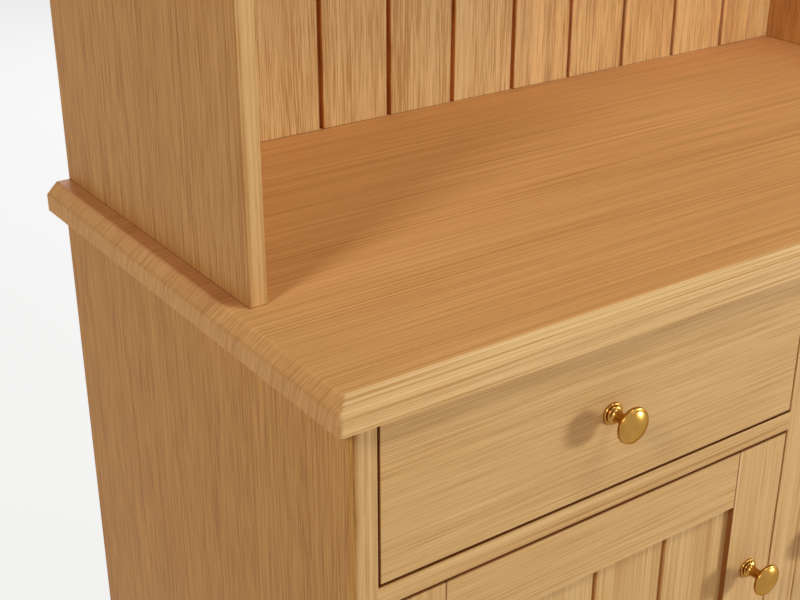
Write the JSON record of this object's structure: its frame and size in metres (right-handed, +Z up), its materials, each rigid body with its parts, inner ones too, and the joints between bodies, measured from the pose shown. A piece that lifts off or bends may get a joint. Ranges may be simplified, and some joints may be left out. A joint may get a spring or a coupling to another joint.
{
  "type": "welsh dresser",
  "caption": "Oak dresser: a cupboard base with drawers over doors and a bevelled worktop, carrying an open hutch with plate shelves and a tongued board back.",
  "frame": {"origin": "on the floor, in the middle of the width and of the depth over the knobs", "axes": "+Z up, +X to the right as seen from the front, +Y back towards the wall"},
  "size_m": [0.96, 0.495, 1.84],
  "materials": {
    "oak": "clear waxed oak, satin, fine straight grain",
    "worktop_oak": "clear waxed oak, satin, grain along the width",
    "board_oak": "clear waxed oak boards, satin, upright figured grain",
    "drawer_oak": "pale oak, planed and left nearly bare",
    "panel_ply": "thin veneered panel, matt",
    "brass": "turned and polished, slightly aged",
    "steel": "zinc plated, dull",
    "catch_plastic": "brown moulded plastic with a magnet inside"
  },
  "bodies": {
    "carcass": {"base_left_side": "oak", "base_right_side": "oak", "centre_stile": "oak", "centre_partition": "oak", "base_floor": "oak", "plinth": "oak", "base_back_panel": "panel_ply", "worktop": "worktop_oak", "mid_rail_left": "oak", "mid_rail_right": "oak", "drawer_runners": "drawer_oak", "drawer_stops": "drawer_oak", "cupboard_shelf_left": "oak", "cupboard_shelf_right": "oak", "shelf_pins": "steel", "door_catches": "catch_plastic", "hinge_fixed_leaves": "brass", "hinge_pins": "brass", "carcass_screws": "steel", "hutch_left_side": "oak", "hutch_right_side": "oak", "hutch_shelf_lower": "oak", "hutch_shelf_upper": "oak", "hutch_top": "oak", "frieze": "oak", "cornice_front": "oak", "cornice_left": "oak", "cornice_right": "oak", "hutch_back_boards": "board_oak", "fixing_plates": "steel"},
    "drawer_left": {"drawer_left_front": "oak", "drawer_left_outer_side": "drawer_oak", "drawer_left_inner_side": "drawer_oak", "drawer_left_back": "drawer_oak", "drawer_left_bottom": "panel_ply", "drawer_left_knob": "brass"},
    "door_left": {"door_left_hinge_stile": "oak", "door_left_lock_stile": "oak", "door_left_top_rail": "oak", "door_left_bottom_rail": "oak", "door_left_panel_boards": "board_oak", "door_left_knob": "brass", "door_left_hinge_leaves": "brass", "door_left_strike": "steel", "door_left_screws": "steel"},
    "drawer_right": {"drawer_right_front": "oak", "drawer_right_outer_side": "drawer_oak", "drawer_right_inner_side": "drawer_oak", "drawer_right_back": "drawer_oak", "drawer_right_bottom": "panel_ply", "drawer_right_knob": "brass"},
    "door_right": {"door_right_hinge_stile": "oak", "door_right_lock_stile": "oak", "door_right_top_rail": "oak", "door_right_bottom_rail": "oak", "door_right_panel_boards": "board_oak", "door_right_knob": "brass", "door_right_hinge_leaves": "brass", "door_right_strike": "steel", "door_right_screws": "steel"}
  },
  "joints": [
    {"name": "drawer_left_slide", "type": "slide", "parent": "carcass", "child": "drawer_left", "axis": [0, -1, 0], "range_m": [0, 0.32]},
    {"name": "door_left_hinge", "type": "hinge", "parent": "carcass", "child": "door_left", "pos_m": [-0.443, -0.2234, 0.3725], "axis": [0, 0, -1], "range_deg": [0, 165]},
    {"name": "drawer_right_slide", "type": "slide", "parent": "carcass", "child": "drawer_right", "axis": [0, -1, 0], "range_m": [0, 0.32]},
    {"name": "door_right_hinge", "type": "hinge", "parent": "carcass", "child": "door_right", "pos_m": [0.443, -0.2234, 0.3725], "axis": [0, 0, 1], "range_deg": [0, 165]}
  ]
}
